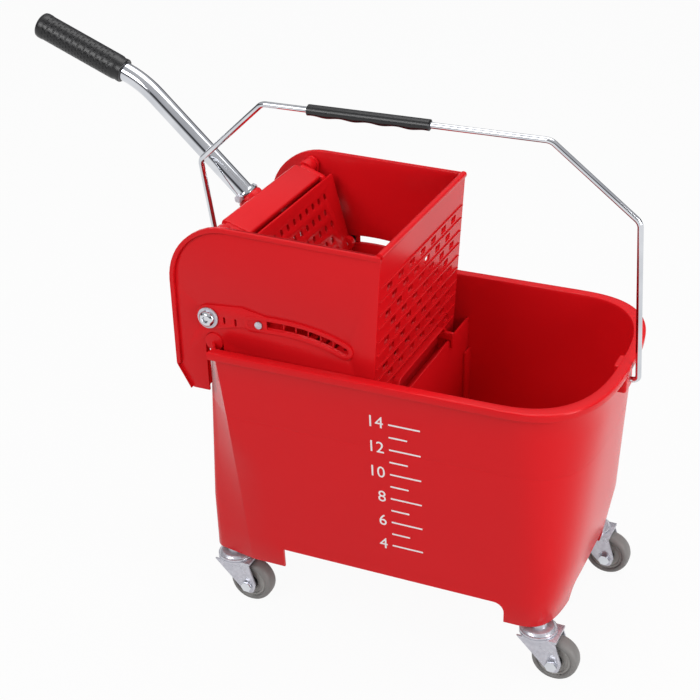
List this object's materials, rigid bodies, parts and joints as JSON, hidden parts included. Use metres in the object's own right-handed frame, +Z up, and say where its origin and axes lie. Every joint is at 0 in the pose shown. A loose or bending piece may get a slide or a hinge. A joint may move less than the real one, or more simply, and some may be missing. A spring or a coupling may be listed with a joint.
{
  "type": "mop bucket with wringer",
  "caption": "Plastic mop bucket on swivel castors with a lift-off side-press wringer, a bent lever, a partition and a wire carrying bail.",
  "frame": {"origin": "on the floor, under the middle of the bucket's rim, between the castors", "axes": "+Z up, +X from the wringer and its lever towards the bucket's pouring nose, +Y across the bucket, away from the side that the bail leans to"},
  "size_m": [0.6753, 0.28, 0.6188],
  "materials": {
    "shell": "glossy moulded polypropylene",
    "chrome": "bright plated steel",
    "zinc": "zinc plated pressed steel",
    "grip_rubber": "matt moulded rubber",
    "grip_plastic": "satin moulded plastic",
    "tyre": "grey non-marking rubber",
    "hub": "matt grey plastic"
  },
  "bodies": {
    "bucket": {"bucket": "shell", "partition": "shell", "castor1_stem": "zinc", "castor2_stem": "zinc", "castor3_stem": "zinc", "castor4_stem": "zinc"},
    "wringer": {"wringer_body": "shell", "pivot_bolts": "chrome", "pivot_washers": "zinc", "pivot_nuts": "zinc"},
    "press_frame": {"press_frame": "shell", "hinge_pin": "zinc", "hinge_pin_clips": "zinc", "lever_bolt": "zinc", "lever_tube": "chrome", "lever_ferrule": "chrome", "lever_grip": "grip_rubber"},
    "press_plate": {"press_plate": "shell", "guide_pins": "zinc", "guide_pin_rollers": "grip_plastic"},
    "bail": {"bail_wire": "chrome"},
    "bail_grip": {"bail_grip": "grip_plastic"},
    "castor1_swivel": {"castor1_race": "zinc", "castor1_fork": "zinc", "castor1_axle": "chrome", "castor1_nut": "zinc"},
    "castor1_wheel": {"castor1_hub": "hub", "castor1_tyre": "tyre"},
    "castor2_swivel": {"castor2_race": "zinc", "castor2_fork": "zinc", "castor2_axle": "chrome", "castor2_nut": "zinc"},
    "castor2_wheel": {"castor2_hub": "hub", "castor2_tyre": "tyre"},
    "castor3_swivel": {"castor3_race": "zinc", "castor3_fork": "zinc", "castor3_axle": "chrome", "castor3_nut": "zinc"},
    "castor3_wheel": {"castor3_hub": "hub", "castor3_tyre": "tyre"},
    "castor4_swivel": {"castor4_race": "zinc", "castor4_fork": "zinc", "castor4_axle": "chrome", "castor4_nut": "zinc"},
    "castor4_wheel": {"castor4_hub": "hub", "castor4_tyre": "tyre"}
  },
  "joints": [
    {"name": "wringer_lift", "type": "slide", "parent": "bucket", "child": "wringer", "axis": [0, 0, 1], "range_m": [0, 0.08]},
    {"name": "lever_swing", "type": "hinge", "parent": "wringer", "child": "press_frame", "pos_m": [-0.189, 0, 0.358], "axis": [0, 1, 0], "range_deg": [0, 46]},
    {"name": "press_hinge", "type": "hinge", "parent": "press_frame", "child": "press_plate", "pos_m": [-0.177, 0, 0.445], "axis": [0, -1, 0], "range_deg": [0, 69]},
    {"name": "bail_swing", "type": "hinge", "parent": "bucket", "child": "bail", "pos_m": [0, 0, 0.31], "axis": [1, 0, 0], "range_deg": [-6, 11]},
    {"name": "bail_grip_slide", "type": "slide", "parent": "bail", "child": "bail_grip", "axis": [1, 0, 0], "range_m": [-0.04, 0.105]},
    {"name": "castor1_swivel_turn", "type": "hinge", "parent": "bucket", "child": "castor1_swivel", "pos_m": [-0.186, -0.1, 0.06], "axis": [0, 0, 1], "continuous": true},
    {"name": "castor1_wheel_roll", "type": "hinge", "parent": "castor1_swivel", "child": "castor1_wheel", "pos_m": [-0.166, -0.1, 0.025], "axis": [0, 1, 0], "continuous": true},
    {"name": "castor2_swivel_turn", "type": "hinge", "parent": "bucket", "child": "castor2_swivel", "pos_m": [0.168, -0.1, 0.06], "axis": [0, 0, 1], "continuous": true},
    {"name": "castor2_wheel_roll", "type": "hinge", "parent": "castor2_swivel", "child": "castor2_wheel", "pos_m": [0.188, -0.1, 0.025], "axis": [0, 1, 0], "continuous": true},
    {"name": "castor3_swivel_turn", "type": "hinge", "parent": "bucket", "child": "castor3_swivel", "pos_m": [0.168, 0.1, 0.06], "axis": [0, 0, 1], "continuous": true},
    {"name": "castor3_wheel_roll", "type": "hinge", "parent": "castor3_swivel", "child": "castor3_wheel", "pos_m": [0.188, 0.1, 0.025], "axis": [0, 1, 0], "continuous": true},
    {"name": "castor4_swivel_turn", "type": "hinge", "parent": "bucket", "child": "castor4_swivel", "pos_m": [-0.186, 0.1, 0.06], "axis": [0, 0, 1], "continuous": true},
    {"name": "castor4_wheel_roll", "type": "hinge", "parent": "castor4_swivel", "child": "castor4_wheel", "pos_m": [-0.166, 0.1, 0.025], "axis": [0, 1, 0], "continuous": true}
  ],
  "couplings": [
    {"joint": "press_hinge", "follows": "lever_swing", "ratio": 1.5}
  ]
}
